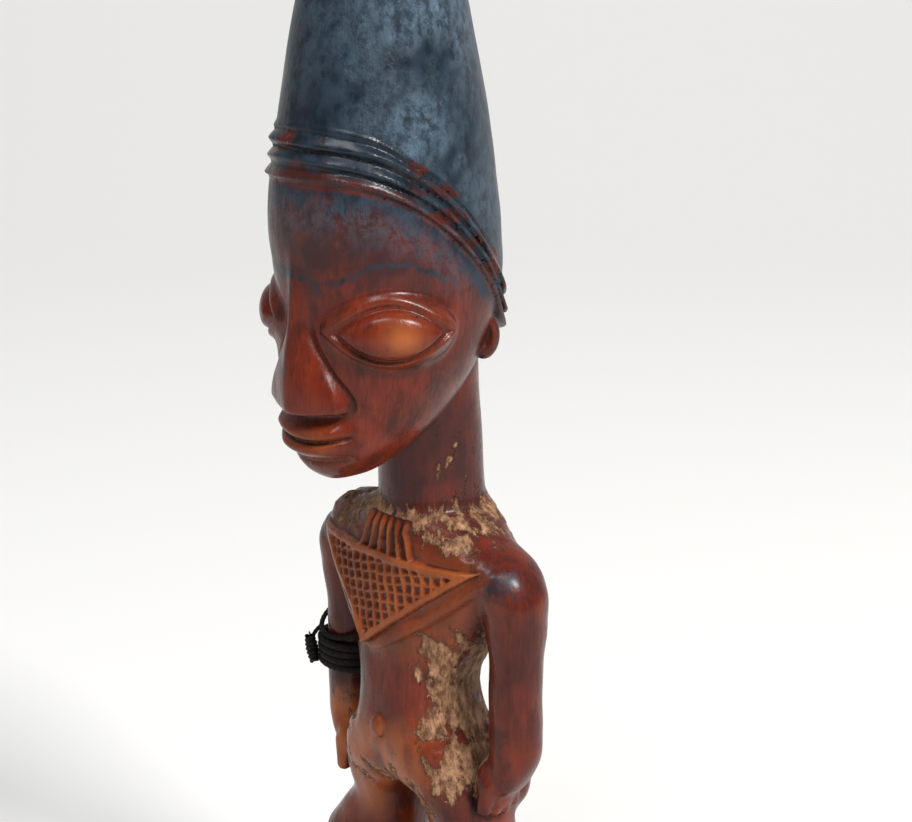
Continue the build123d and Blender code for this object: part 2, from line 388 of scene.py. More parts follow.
# ---- body -----------------------------------------------------------------------------------
TRUNK_ROWS = [
    (69.0, 15.0, -10.0, 12.5, 0),
    (73.0, 17.8, -13.8, 14.2, 0),
    (78.0, 18.0, -15.8, 13.4, 0),
    (84.0, 16.8, -17.0, 11.2, 0),
    (92.0, 14.6, -17.0, 9.2, 0),
    (98.0, 14.6, -16.6, 9.0, 0),
    (103.0, 16.8, -16.0, 9.8, 0),
    (109.0, 20.0, -15.6, 11.2, 0),
    (115.0, 23.4, -15.0, 12.4, 0),
    (122.0, 28.0, -14.2, 12.8, 0),
    (129.0, 26.6, -13.0, 12.4, 0),
    (134.0, 20.0, -12.4, 12.2, 0),
    (139.0, 13.6, -12.0, 12.2, 0),
]
ARM_ROWS = [
    (73.0, 4.2, -6.2, 4.8, 25.2),
    (78.0, 5.2, -6.4, 5.6, 27.2),
    (83.0, 5.8, -6.2, 6.2, 28.6),
    (89.0, 6.0, -6.2, 6.2, 28.8),
    (97.0, 6.0, -6.2, 6.2, 28.8),
    (105.0, 6.1, -6.3, 6.3, 28.8),
    (115.0, 6.7, -7.6, 7.4, 28.6),
    (123.0, 6.8, -8.8, 8.2, 27.8),
    (129.0, 5.4, -7.2, 6.8, 25.0),
    (132.5, 3.5, -4.5, 4.2, 21.5),
]
LEG_ROWS = [
    (12.0, 9.0, -6.5, 12.5, 17.0),
    (22.0, 8.6, -6.2, 12.2, 17.0),
    (30.0, 11.0, -9.4, 13.4, 17.8),
    (40.0, 13.2, -12.4, 11.2, 19.0),
    (47.0, 13.4, -12.4, 10.4, 19.2),
    (54.0, 11.4, -10.8, 9.8, 16.8),
    (60.0, 9.6, -10.2, 9.8, 14.0),
    (66.0, 9.6, -11.8, 10.4, 13.4),
    (74.0, 10.0, -14.4, 9.6, 11.0),
    (81.0, 8.4, -14.0, 8.0, 9.4),
]
BUTTOCK_CENTRE = (10, 9.5, 69)
BUTTOCK_RADII = (11.0, 8.0, 10.0)
RIGHT_SHOULDER_CENTRE = (-21, -1, 127)
RIGHT_SHOULDER_RADII = (8.5, 8.0, 8.5)
NAVEL_CENTRE = (0, -17.4, 86.2)
NAVEL_RADII = (2.1, 1.3, 2.8)
PALM_CENTRE = (24.8, -1.4, 76.0)
PALM_RADII = (3.9, 6.2, 7.5)
FINGERS = 4
FINGER_SPACING = 2.9
FINGER_RADIUS = 1.75
FOOT_X = 17.5
FOOT_RADII = (8.6, 17.0, 9.0)
TOES = 5
TOE_SPACING = 2.9
TOE_RADII = (1.7, 4.2, 2.6)
AMULET_TOP_Z = 128.5
AMULET_POINT_Z = 106.0
AMULET_HALF_WIDTH = 26.0


def chest_edge(x):
    """Lower edge of the raised chest, from the amulet's point to the armpit."""
    return 104.0 + 0.50 * np.abs(x + 3) + 0.009 * x**2


def chips(p):
    """1 where the surface has flaked off down to bare wood."""
    x, y, z = p.T
    rough = 1.9 * waves(p, 10, 21) + 1.5 * waves(p, 4.2, 22) + 0.8 * waves(p, 2.0, 23)
    side = np.abs(x)
    flank = np.maximum(np.abs(side - 16.8) - 4.9, np.abs(z - 97) / 2.3 - 4.8)
    flank = np.maximum(flank, y - 5)
    hip = np.maximum(np.abs(side - 18.5) - 3.0, np.abs(z - 79) / 1.6 - 3.0)
    hip = np.maximum(hip, y - 2)
    arch = np.maximum(np.abs(x - 2) - 8.0, np.abs(z - 70.5) - 2.2)
    arch = np.maximum(arch, y)
    nearest = np.minimum(np.minimum(flank, hip), arch)
    return step(4.2, -2.8, nearest + 0.7 * rough)


def body_relief(p):
    """Edge of the chest, the spine and shoulder blades, flaked patches and crust."""
    x, y, z = p.T
    front = step(-2, -7, y)
    back = step(4, 8, y)
    over_edge = z - chest_edge(x)
    relief = front * 1.1 * step(-0.9, 0.9, over_edge) * step(139, 134, z)
    relief += front * 0.5 * bump(over_edge - 1.6, 1.5)
    relief -= front * 0.45 * bump(over_edge - 4.2, 1.1) * step(7, 10, np.abs(x))
    relief -= back * 0.9 * bump(x, 1.8) * step(78, 86, z) * step(132, 122, z)
    relief -= back * 0.5 * bump(np.abs(x) - 13 - 0.3 * (z - 112), 2.4) * step(98, 106, z)
    relief -= 0.35 * step(0.35, 0.65, chips(p)) * step(64, 66, z)
    crust = step(0.2, 1.0, waves(p, 5, 24) + 0.5 * waves(p, 2.4, 25)) * step(125, 131, z)
    relief += 0.25 * crust * step(NECK_JOIN_Z - 2, NECK_JOIN_Z - 6, z)
    return relief


def body(p):
    """Everything below the neck's middle, with the base."""
    q = folded(p)
    solid = column(p, TRUNK_ROWS, 2.25, 3.0)
    solid = blend_union(solid, column(q, LEG_ROWS, 2.2, 2.0), 6.0)
    solid = blend_union(solid, egg(q, BUTTOCK_CENTRE, BUTTOCK_RADII), 2.5)
    solid = blend_union(solid, egg(p, RIGHT_SHOULDER_CENTRE, RIGHT_SHOULDER_RADII), 2.5)
    neck = column(p, NECK_ROWS, 2.0, 1.0)
    solid = blend_union(solid, neck - 0.15 * waves(p, 15, 5), 2.4)
    solid = blend_union(solid, egg(p, NAVEL_CENTRE, NAVEL_RADII), 0.8)
    solid = solid - body_relief(p)
    arms_and_hands = q.copy()
    arms_and_hands[:, 0] -= np.where(p[:, 0] > 0, LEFT_ARM_SHIFT, RIGHT_ARM_SHIFT)
    lower = step(90, 74, p[:, 2]) * (p[:, 0] < 0)
    arms_and_hands[:, 2] += RIGHT_HAND_DROP * lower
    solid = blend_union(solid, column(arms_and_hands, ARM_ROWS, 2.0, 2.0), 1.8)
    solid = blend_union(solid, hand(arms_and_hands), 1.0)
    carved = step(NECK_JOIN_Z - 1, NECK_JOIN_Z - 6, p[:, 2])
    tool_marks = 0.16 * waves(p, 14, 11) + 0.06 * waves(p * np.array([1, 1, 0.35]), 4, 12)
    solid = solid - carved * tool_marks
    solid = blend_union(solid, foot(q), 2.0)
    return np.maximum(blend_union(solid, base(p), 0.9), p[:, 2] - NECK_JOIN_Z)


def hand(q):
    """Palm and fingers laid on the thigh."""
    solid = egg(q, PALM_CENTRE, PALM_RADII)
    for k in range(FINGERS):
        y = 2.6 - FINGER_SPACING * k
        top = (26.0, y + 0.2, 76.0)
        tip = (25.2, y - 0.3, 68.6 + 0.9 * abs(k - 1.4))
        solid = blend_union(solid, rod(q, top, tip, FINGER_RADIUS), 0.5)
    return solid


def foot(q):
    """A long flat foot with its toes."""
    solid = egg(q, (FOOT_X, -8, BASE_HEIGHT - 1), FOOT_RADII)
    for k in range(TOES):
        centre = (FOOT_X + TOE_SPACING * (k - 2), -23.0 + 0.5 * k, BASE_HEIGHT + 1.0)
        solid = blend_union(solid, egg(q, centre, TOE_RADII), 0.7)
    return solid


def base(p):
    """A round base, a little narrower at the top."""
    x, y, z = p.T
    edge = np.hypot(x, y - BASE_Y) - (BASE_RADIUS - 0.5 - 0.035 * z)
    edge = edge - 0.25 * waves(p, 30, 31)
    flat = np.abs(z - BASE_HEIGHT / 2) - BASE_HEIGHT / 2
    return blend_meet(edge, flat, 2.0)


# ---- skin over a distance field -------------------------------------------------------------
def field_on_grid(field, low, high, grid):
    """The field on a regular grid, worked out only near its surface."""
    coarse = 4 * grid
    counts = np.ceil((high - low) / coarse).astype(int) + 1
    axes = [low[k] + coarse * np.arange(counts[k]) for k in range(3)]
    points = np.stack(np.meshgrid(*axes, indexing="ij"), -1)
    far = field(points.reshape(-1, 3)).reshape(counts)
    nearest = np.abs(far)
    cells = np.stack(
        [
            nearest[i : i + counts[0] - 1, j : j + counts[1] - 1, k : k + counts[2] - 1]
            for i in (0, 1) for j in (0, 1) for k in (0, 1)
        ]
    ).min(0)
    close = np.pad(cells < coarse * 1.25, ((0, 1), (0, 1), (0, 1)))
    for axis in range(3):
        close = np.repeat(close, 4, axis)
        far = np.repeat(far, 4, axis)
    grown = close.copy()
    for axis in range(3):
        grown |= np.roll(grown, 1, axis)
    where = np.nonzero(grown)
    fine = low + grid * np.stack(where, -1)
    values = np.where(far > 0, 9.0, -9.0)
    values[where] = field(fine)
    return values


def gradient(field, p, reach=0.08):
    """Outward direction of the field at points."""
    total = np.zeros_like(p)
    for corner in ((1, -1, -1), (-1, -1, 1), (-1, 1, -1), (1, 1, 1)):
        direction = np.array(corner, float)
        total += direction * field(p + reach * direction)[:, None]
    return total / (4 * reach)


def skin(field, low, high, grid):
    """Vertices and quads over the surface of a field, one vertex for each cell it crosses."""
    low, high = np.array(low, float), np.array(high, float)
    values = field_on_grid(field, low, high, grid)
    inside = values < 0
    n = np.array(values.shape) - 1
    count = sum(
        inside[i : i + n[0], j : j + n[1], k : k + n[2]].astype(np.int8)
        for i in (0, 1) for j in (0, 1) for k in (0, 1)
    )
    crossed = (count > 0) & (count < 8)
    number = np.full(crossed.shape, -1)
    number[crossed] = np.arange(crossed.sum())
    cell = np.stack(np.nonzero(crossed), -1)
    vertices = low + grid * (cell + 0.5)
    middle = vertices.copy()
    for _ in range(4):
        distance = field(vertices)
        slope = gradient(field, vertices)
        steepness = (slope**2).sum(1) + 1e-6
        vertices = vertices - slope * (distance / np.maximum(steepness, 0.3))[:, None]
        vertices = np.clip(vertices, middle - 0.75 * grid, middle + 0.75 * grid)
    quads = []
    for axis in range(3):
        one, two = (axis + 1) % 3, (axis + 2) % 3
        head_slice = [slice(1, n[k]) for k in range(3)]
        head_slice[axis] = slice(0, n[axis])
        next_slice = list(head_slice)
        next_slice[axis] = slice(1, n[axis] + 1)
        first, second = inside[tuple(head_slice)], inside[tuple(next_slice)]
        for leaving in (True, False):
            change = (first & ~second) if leaving else (~first & second)
            at = np.stack(np.nonzero(change), -1)
            at[:, one] += 1
            at[:, two] += 1
            corners = []
            for a, b in ((0, 0), (-1, 0), (-1, -1), (0, -1)):
                c = at.copy()
                c[:, one] += a
                c[:, two] += b
                corners.append(number[tuple(c.T)])
            quad = np.stack(corners, -1)
            quads.append(quad if leaving else quad[:, ::-1])
    return vertices, np.concatenate(quads)


def mesh_object(name, vertices, quads, material):
    """A smooth-shaded mesh from vertices in millimetres."""
    mesh = bpy.data.meshes.new(name)
    mesh.vertices.add(len(vertices))
    mesh.vertices.foreach_set("co", (vertices * MM).astype(np.float32).ravel())
    size = quads.shape[1]
    mesh.loops.add(quads.size)
    mesh.loops.foreach_set("vertex_index", quads.astype(np.int32).ravel())
    mesh.polygons.add(len(quads))
    mesh.polygons.foreach_set("loop_start", np.arange(0, quads.size, size, dtype=np.int32))
    mesh.update(calc_edges=True)
    mesh.validate()
    mesh.polygons.foreach_set("use_smooth", np.ones(len(mesh.polygons), bool))
    thing = bpy.data.objects.new(name, mesh)
    bpy.context.scene.collection.objects.link(thing)
    mesh.materials.append(material)
    return thing


def paint(thing, masks):
    """Stores named shades on the vertices for the material to read."""
    for name, values in masks.items():
        layer = thing.data.attributes.new(name, "FLOAT", "POINT")
        layer.data.foreach_set("value", np.clip(values, 0, 1).astype(np.float32))


# ---- where the colours lie ------------------------------------------------------------------
def hollows_and_ridges(field, p, reach):
    """How far points lie in hollows and on ridges some `reach` across, each from 0 to 1."""
    normal = gradient(field, p)
    normal /= np.linalg.norm(normal, axis=1, keepdims=True) + 1e-9
    hollow = 1 - field(p + normal * reach) / reach
    ridge = 1 + field(p - normal * reach) / reach
    return np.clip(hollow, 0, 1), np.clip(ridge, 0, 1)


def neck_darkness(z):
    """The neck is darker than the face, down to the crust at its foot."""
    return 0.75 * step(170, 160, z) * step(131, 139, z)


def neck_crust(p):
    """Pale crust at the foot of the neck, and specks of it up the neck's left and back."""
    x, y, z = p.T
    ring = 0.72 * bump(z - 137.6, 3.4)
    specks = 0.30 * step(166, 150, z) * step(131, 137, z) * step(-12, 6, y + 0.8 * x)
    return np.maximum(ring, specks)


def head_shades(p):
    """Where dye, wear, crust, dust and dark wood lie on the head, and where shade and highlights
    are painted.
    """
    x, y, z = p.T
    fine_hollow, fine_ridge = hollows_and_ridges(head, p, 0.8)
    hollow = hollows_and_ridges(head, p, 2.2)[0]
    share, low = band_share(p)
    patchy = waves(p, 16, 41) + 0.6 * waves(p, 6, 42)
    in_hair = step(-0.1, 0.05, share)
    on_band = in_hair * step(1.03, 0.97, share)
    # dye that ran down from the hair onto the forehead, and on the brow
    below_band = low - z
    run = 0.72 * step(10, 1, below_band + 1.5 * patchy) * (1 - in_hair)
    along_eye, out_of_eye, up_eye, off_eye = eye_place(p)
    round_eye = off_eye + 0.9 * patchy
    brow = bump(round_eye - 8.2, 1.0) * step(2, 7, z - EYE_Z) * step(-8, -16, y)
    lowest = on_band * step(0.30, 0.10, share) * (0.65 + 0.2 * patchy)
    around = np.abs(band_angle(p))
    brown = np.maximum(step(28, 8, around), step(52, 75, around))
    along_band = waves(p * np.array([0.5, 0.5, 1.2]), 7, 44)
    worn_band = on_band * (0.2 + 0.8 * brown) * step(-0.5, 0.9, along_band + 0.8 * fine_ridge)
    indigo = np.maximum.reduce([in_hair - lowest - 0.75 * worn_band, run, 0.62 * brow])
    # darker wood on the forehead, down to the bridge of the nose
    forehead = step(26, 14, below_band + 2 * patchy) * (1 - in_hair) * step(188, 199, z)
    # the dye is palest where it thins out, and the cap is scuffed down its front left
    dusty_brow = bump(below_band - 6, 5) * (1 - in_hair) * step(-4, -16, y)
    scuffed = bump(0.68 * x + 0.74 * y, 10) * step(-2, 8, 0.74 * x - 0.68 * y)
    bridge = bump(x - 2, 8.0) * bump(z - 200 - 2 * patchy, 11) * step(-30, -35, y)
    # painted highlights on the eyeball and the lids
    on_ball = step(0.3, -0.6, off_eye) * step(2, 4, out_of_eye)
    ball_highlight = on_ball * bump(along_eye - 2.4, 4.0) * bump(up_eye + 0.6, 3.4)
    lids = bump(off_eye - 1.6, 1.2) * step(17, 13, np.abs(along_eye)) * step(2, 4, out_of_eye)
    near_lids = bump(off_eye, 2.6) * step(17, 13, np.abs(along_eye)) * step(2, 4, out_of_eye)
    lips = bump(z - mouth_line(x), 3.4) * step(-28, -32, y) * step(11, 7, np.abs(x))
    return {
        "indigo": indigo,
        # wear on ridges and lips, and painted highlights on the eyeball and the lids
        "wear_and_highlight": np.maximum.reduce(
            [0.65 * worn_band * fine_ridge, ball_highlight, 0.12 * lids, 0.35 * fine_ridge, 0.4 * lips]
        ),
        # painted shade: darker in hollows and creases, with a dark line painted along the eye's
        # almond
        "hollow": np.clip(0.7 * fine_hollow + 0.6 * hollow, 0, 1) * (1 - 0.9 * near_lids)
        + 0.5 * bump(off_eye, 0.45) * near_lids,
        "tan": np.maximum(
            0.4 * step(0.35, 0.8, hollow) * step(176, 166, z) * step(-16, -12, y),
            neck_crust(p),
        ),
        # dust on the cap and brow, and pale painted highlights on the band's ridges
        "dust_and_highlight": in_hair * (1 - on_band) * step(-1.2, 1.0, waves(p, 34, 43) + 0.5 * patchy)
        * (0.18 + 0.82 * step(300, 260, z) * scuffed)
        + 0.6 * on_band * fine_ridge * (1 - worn_band) + 0.2 * dusty_brow,
        "dark": np.maximum.reduce(
            [neck_darkness(z) * step(-20, -14, y), forehead, bridge, 0.92 * on_band]
        ),
    }


def body_shades(p):
    """Where dye, wear, crust and dark wood lie on the body, and where shade is painted in its
    hollows.
    """
    x, y, z = p.T
    fine_hollow, fine_ridge = hollows_and_ridges(body, p, 1.0)
    hollow = hollows_and_ridges(body, p, 3.0)[0]
    patchy = waves(p, 16, 51) + 0.6 * waves(p, 6, 52)
    bare = chips(p) * step(64, 66, z)
    streaks = waves(p * np.array([1, 1, 0.45]), 9, 55)
    shoulder_crust = step(119, 131, z) * step(141, 137, z) * step(7, 12, np.abs(x))
    shoulder_crust *= step(-1.4, 1.4, streaks + 0.9 * step(0, -8, x)) * step(27, 22, np.abs(x))
    seam_crust = 0.8 * step(0.25, 0.6, hollow + 0.15 * patchy) * step(100, 108, z)
    glossy_knob = bump(z - 126, 5) * bump(np.abs(x) - 29, 5) * step(4, -4, y)
    low_wear = step(62, 50, z) * 0.35 * step(0.0, 1.0, patchy)
    amulet_wear = 0.35 * step(-6, -10, y) * step(101, 108, z) * step(134, 128, z)
    on_right_arm = step(-20, -24, x)
    right_forearm = on_right_arm * step(86, 82, z) * step(55, 62, z)
    belly = step(-6, -12, y) * step(94, 78, z) * step(50, 62, z) * step(20, 9, np.abs(x + 2))
    dark_arm = step(20, 24, np.abs(x)) * step(84, 88, z)
    under_cord = on_right_arm * step(80, 86, z) * step(98, 94, z)
    base_dark = step(BASE_HEIGHT + 2, BASE_HEIGHT, z) * 0.7
    return {
        "indigo": 0.60 * glossy_knob + 0.5 * on_right_arm * bump(z - 82, 4),
        "wear_and_highlight": np.maximum.reduce(
            [0.55 * fine_ridge, amulet_wear, right_forearm * step(-1.4, 0.2, patchy),
             belly * step(-1.2, 0.4, patchy), low_wear]
        ),
        # painted shade in hollows and creases
        "hollow": np.clip(0.7 * fine_hollow + 0.7 * hollow, 0, 1),
        "tan": np.maximum.reduce([bare, 0.8 * shoulder_crust, neck_crust(p), 0.7 * seam_crust]),
        "dust_and_highlight": np.zeros(len(p)),
        "dark": np.clip(
            neck_darkness(z) + 0.3 * dark_arm + base_dark + 0.6 * under_cord
            + 0.35 * step(0.3, 1.2, waves(p, 22, 53)) * (1 - belly), 0, 1
        ),
    }


# ---- amulet and necklace: a finer patch of the chest ----------------------------------------
PATCH_GRID = 0.35
PATCH_HALF_WIDTH = 27.6
PATCH_LOW_Z, PATCH_HIGH_Z = 104.4, 139.4
ROW_SPACING = 2.2
COLUMN_SPACING = 2.7
STRING_SPACING = 2.9


def amulet_depth(x, z):
    """Distance inside the point-down triangle of the amulet."""
    rise = AMULET_TOP_Z - AMULET_POINT_Z
    askew = x + 1.0 + 3.2 * (AMULET_TOP_Z - z) / rise
    side = (z - AMULET_POINT_Z) * AMULET_HALF_WIDTH - np.abs(askew) * rise
    return np.minimum(AMULET_TOP_Z - z, side / math.hypot(AMULET_HALF_WIDTH, rise))


def chest_relief(x, z):
    """Height of the amulet and the necklace strings over the chest, below zero elsewhere."""
    p = np.stack([x, np.zeros_like(x), z], 1)
    wander = 0.25 * waves(p, 7, 61)
    depth = amulet_depth(x, z) + 0.3 * wander
    frame_edge = step(-0.35, 0.35, depth)
    sunk = step(1.5, 2.1, depth)
    rows = np.sin((z - 0.18 * x + wander) * 2 * math.pi / ROW_SPACING)
    columns = np.sin((x * 0.96 + 0.30 * z + wander) * 2 * math.pi / COLUMN_SPACING)
    lattice = np.maximum(0.8 * step(-0.2, 0.95, rows), step(-0.1, 0.9, columns))
    relief = frame_edge * (1.6 - sunk * (1.1 - 0.75 * lattice))
    lean = 0.05 * x * (z - 131)
    across = (x + lean) / STRING_SPACING
    strings = np.abs(across - np.round(across - 0.5) - 0.5) * STRING_SPACING
    between = step(9.4, 8.6, np.abs(x + lean)) * step(127.2, 128.4, z) * step(137.6, 135.6, z)
    string_height = between * (0.25 + bump(strings, 0.62))
    outside = 0.5 * (1 - np.maximum(frame_edge, step(0, 0.3, between)))
    return np.maximum(relief, string_height) - outside, depth


def chest_patch(material):
    """The amulet and necklace laid over the chest's own surface."""
    xs = np.arange(-PATCH_HALF_WIDTH, PATCH_HALF_WIDTH + 0.1, PATCH_GRID)
    zs = np.arange(PATCH_LOW_Z, PATCH_HIGH_Z, PATCH_GRID)
    x, z = (a.ravel() for a in np.meshgrid(xs, zs, indexing="ij"))
    y = np.full(len(x), -22.0)
    for _ in range(16):
        y = np.minimum(y + 0.9 * body(np.stack([x, y, z], 1)), -4.0)
    relief, depth = chest_relief(x, z)
    points = np.stack([x, y - relief, z], 1)
    number = np.arange(len(x)).reshape(len(xs), len(zs))
    quads = np.stack(
        [number[:-1, :-1], number[1:, :-1], number[1:, 1:], number[:-1, 1:]], -1
    ).reshape(-1, 4)
    shown = (relief[quads] > -0.45).any(1)
    used, renumbered = np.unique(quads[shown], return_inverse=True)
    thing = mesh_object("chest_relief", points[used], renumbered.reshape(-1, 4), material)
    patchy = waves(points, 12, 62)[used]
    height = relief[used]
    inside = step(1.8, 2.6, depth[used])
    paint(
        thing,
        {
            "indigo": np.zeros(len(used)),
            "wear_and_highlight": 0.30 + 0.55 * step(0.7, 1.3, height) + 0.20 * patchy,
            # painted shade in the amulet's sunk holes and round the raised carving
            "hollow": 0.55 * inside * step(1.05, 0.5, height)
            + (1 - inside) * step(0.7, 0.1, height),
            "tan": np.zeros(len(used)),
            "dust_and_highlight": np.zeros(len(used)),
            "dark": 0.2 * step(0, 1, patchy),
        },
    )
    return thing


# ---- materials ------------------------------------------------------------------------------
class Paint:
    """A short way to lay out a node material."""

    def __init__(self, name):
        self.material = bpy.data.materials.new(name)
        self.material.use_nodes = True
        self.nodes = self.material.node_tree.nodes
        self.links = self.material.node_tree.links
        self.shader = self.nodes["Principled BSDF"]
        place = self.nodes.new("ShaderNodeNewGeometry")
        self.position = place.outputs["Position"]

    def set(self, socket, value):
        if hasattr(value, "is_output"):
            self.links.new(value, socket)
        else:
            socket.default_value = value

    def mask(self, name):
        node = self.nodes.new("ShaderNodeAttribute")
        node.attribute_name = name
        return node.outputs["Fac"]

    def math(self, operation, a, b=0.0, clamp=True):
        node = self.nodes.new("ShaderNodeMath")
        node.operation = operation
        node.use_clamp = clamp
        self.set(node.inputs[0], a)
        self.set(node.inputs[1], b)
        return node.outputs[0]

    def noise(self, size, stretch=(1, 1, 1), detail=3.0, roughness=0.55):
        """Grey noise with features some `size` millimetres across, longer where stretched."""
        scale = self.nodes.new("ShaderNodeVectorMath")
        scale.operation = "MULTIPLY"
        self.links.new(self.position, scale.inputs[0])
        scale.inputs[1].default_value = [1 / (size * MM * s) for s in stretch]
        node = self.nodes.new("ShaderNodeTexNoise")
        node.inputs["Scale"].default_value = 1.0
        node.inputs["Detail"].default_value = detail
        node.inputs["Roughness"].default_value = roughness
        self.links.new(scale.outputs[0], node.inputs["Vector"])
        return node.outputs["Fac"]

    def spread(self, value, low, high, to_low=0.0, to_high=1.0):
        node = self.nodes.new("ShaderNodeMapRange")
        node.interpolation_type = "SMOOTHSTEP"
        self.set(node.inputs["Value"], value)
        node.inputs["From Min"].default_value = low
        node.inputs["From Max"].default_value = high
        node.inputs["To Min"].default_value = to_low
        node.inputs["To Max"].default_value = to_high
        return node.outputs[0]

    def mix(self, share, a, b):
        node = self.nodes.new("ShaderNodeMix")
        node.data_type = "RGBA"
        self.set(node.inputs["Factor"], share)
        self.set(node.inputs[6], a if hasattr(a, "is_output") else (*a, 1))
        self.set(node.inputs[7], b if hasattr(b, "is_output") else (*b, 1))
        return node.outputs[2]

    def bump(self, height, distance, before=None):
        node = self.nodes.new("ShaderNodeBump")
        node.inputs["Distance"].default_value = distance * MM
        node.inputs["Strength"].default_value = 1.0
        self.links.new(height, node.inputs["Height"])
        if before is not None:
            self.links.new(before, node.inputs["Normal"])
        return node.outputs["Normal"]

    def finish(self, colour, roughness, normal, **constants):
        self.set(self.shader.inputs["Base Color"], colour)
        self.set(self.shader.inputs["Roughness"], roughness)
        self.set(self.shader.inputs["Normal"], normal)
        for name, value in constants.items():
            self.shader.inputs[name.replace("_", " ")].default_value = value
        return self.material


# linear colours
WOOD_DARK, WOOD_RED = (0.054, 0.0066, 0.0042), (0.155, 0.019, 0.0070)
WOOD_GRAIN, WOOD_MOTTLE = (0.19, 0.044, 0.017), (0.028, 0.0065, 0.0055)
# the worn colour also serves for painted highlights on the eyes
WOOD_VEIN, WOOD_WEAR_AND_HIGHLIGHT = (0.022, 0.0055, 0.0050), (0.300, 0.078, 0.020)
WOOD_SOOTY = (0.032, 0.0095, 0.0095)
DYE_DEEP, DYE_PALE = (0.0060, 0.0105, 0.0165), (0.015, 0.026, 0.040)
# dust, also used for painted highlights on the band's ridges
DUST_AND_HIGHLIGHT = (0.135, 0.205, 0.275)
CRUST_BROWN, CRUST_PALE = (0.17, 0.072, 0.034), (0.46, 0.250, 0.140)
# the second colour here is painted shade for hollows and creases
CRUST_CRACK, HOLLOW_SHADE = (0.085, 0.026, 0.014), (0.011, 0.005, 0.0045)
CORD_DEEP, CORD_PALE = (0.004, 0.0025, 0.0025), (0.013, 0.0085, 0.0075)
BACKDROP, BACKDROP_GLOW = (0.50, 0.497, 0.486), (1.0, 0.99, 0.97)


def wood():
    """Red-brown handled wood under indigo, wear, crust and dust, with painted shade and painted
    highlights.
    """
    m = Paint("carved_wood")
    grain = m.noise(0.8, (1, 1, 14), 4)
    broad = m.noise(11, (1, 1, 2.2), 3)
    fine = m.noise(1.3, (1, 1, 1.6), 4)
    mottle = m.noise(4.5, (1, 1, 1.4), 5, 0.6)
    colour = m.mix(m.spread(broad, 0.3, 0.7), WOOD_DARK, WOOD_RED)
    colour = m.mix(m.spread(grain, 0.42, 0.75, 0, 0.28), colour, WOOD_GRAIN)
    colour = m.mix(m.spread(mottle, 0.48, 0.70, 0, 0.62), colour, WOOD_MOTTLE)
    veins = m.noise(0.55, (1, 1, 22), 5, 0.6)
    colour = m.mix(m.spread(veins, 0.52, 0.72, 0, 0.55), colour, WOOD_VEIN)
    # wear, and the painted highlights of the eyeball and lids
    wear_and_highlight = m.math("MULTIPLY", m.mask("wear_and_highlight"), m.spread(mottle, 0.25, 0.6, 0.55, 1.1))
    colour = m.mix(wear_and_highlight, colour, WOOD_WEAR_AND_HIGHLIGHT)
    dark = m.math("MULTIPLY", m.mask("dark"), m.spread(mottle, 0.3, 0.65, 0.6, 1.0))
    colour = m.mix(dark, colour, WOOD_SOOTY)
    dye_edge = m.math("ADD", m.mask("indigo"), m.spread(fine, 0.3, 0.7, -0.16, 0.16), False)
    dye = m.spread(dye_edge, 0.25, 0.8)
    blue = m.mix(m.spread(mottle, 0.35, 0.65), DYE_DEEP, DYE_PALE)
    colour = m.mix(dye, colour, blue)
    speckle = m.noise(2.2, (1, 1, 1.3), 6, 0.7)
    # dust, and painted highlights on the band's ridges
    dust_and_highlight = m.math("MULTIPLY", m.mask("dust_and_highlight"), m.spread(speckle, 0.36, 0.60, 0.08, 1.0))
    colour = m.mix(m.math("MULTIPLY", dust_and_highlight, 0.75), colour, DUST_AND_HIGHLIGHT)
    flaking = m.noise(3.2, (1, 1, 1.9), 7, 0.68)
    crust_edge = m.math("ADD", m.mask("tan"), m.spread(flaking, 0.3, 0.7, -0.42, 0.42), False)
    crust = m.spread(crust_edge, 0.42, 0.66)
    fibre = m.noise(1.5, (1, 1, 3), 6, 0.68)
    tan = m.mix(m.spread(fibre, 0.36, 0.62), CRUST_BROWN, CRUST_PALE)
    tan = m.mix(m.spread(speckle, 0.50, 0.70, 0, 0.85), tan, CRUST_CRACK)
    colour = m.mix(crust, colour, tan)
    # painted shade: hollows and creases are darkened, less so where crust lies
    hollow = m.spread(m.mask("hollow"), 0.2, 0.95, 0, 0.7)
    painted_shade = m.math("MULTIPLY", hollow, m.spread(crust, 0, 1, 1, 0.3))
    colour = m.mix(painted_shade, colour, HOLLOW_SHADE)
    rough = m.spread(mottle, 0.3, 0.7, 0.24, 0.38)
    rough = m.math("ADD", rough, m.math("MULTIPLY", crust, 0.42))
    rough = m.math("ADD", rough, m.math("MULTIPLY", hollow, 0.25))
    rough = m.math("ADD", rough, m.math("MULTIPLY", dye, 0.06))
    normal = m.bump(grain, 0.06)
    normal = m.bump(fine, 0.10, normal)
    flakes = m.math("MULTIPLY", m.math("ADD", crust, dust_and_highlight), m.spread(flaking, 0.35, 0.65))
    normal = m.bump(flakes, 0.8, normal)
    matt = m.math("MAXIMUM", m.math("MAXIMUM", crust, dust_and_highlight), hollow)
    gloss = m.math("MULTIPLY", m.math("SUBTRACT", 1.0, matt), 0.12)
    m.set(m.shader.inputs["Coat Weight"], gloss)
    return m.finish(colour, rough, normal, Specular_IOR_Level=0.17, Coat_Roughness=0.17)


def cord_black():
    """Cord blackened by handling and oil."""
    m = Paint("blackened_cord")
    fibre = m.noise(0.35, (1, 1, 1), 4)
    broad = m.noise(3.0, (1, 1, 1), 3)
    colour = m.mix(m.spread(broad, 0.35, 0.7), CORD_DEEP, CORD_PALE)
    normal = m.bump(fibre, 0.25)
    return m.finish(colour, 0.72, normal, Specular_IOR_Level=0.2)


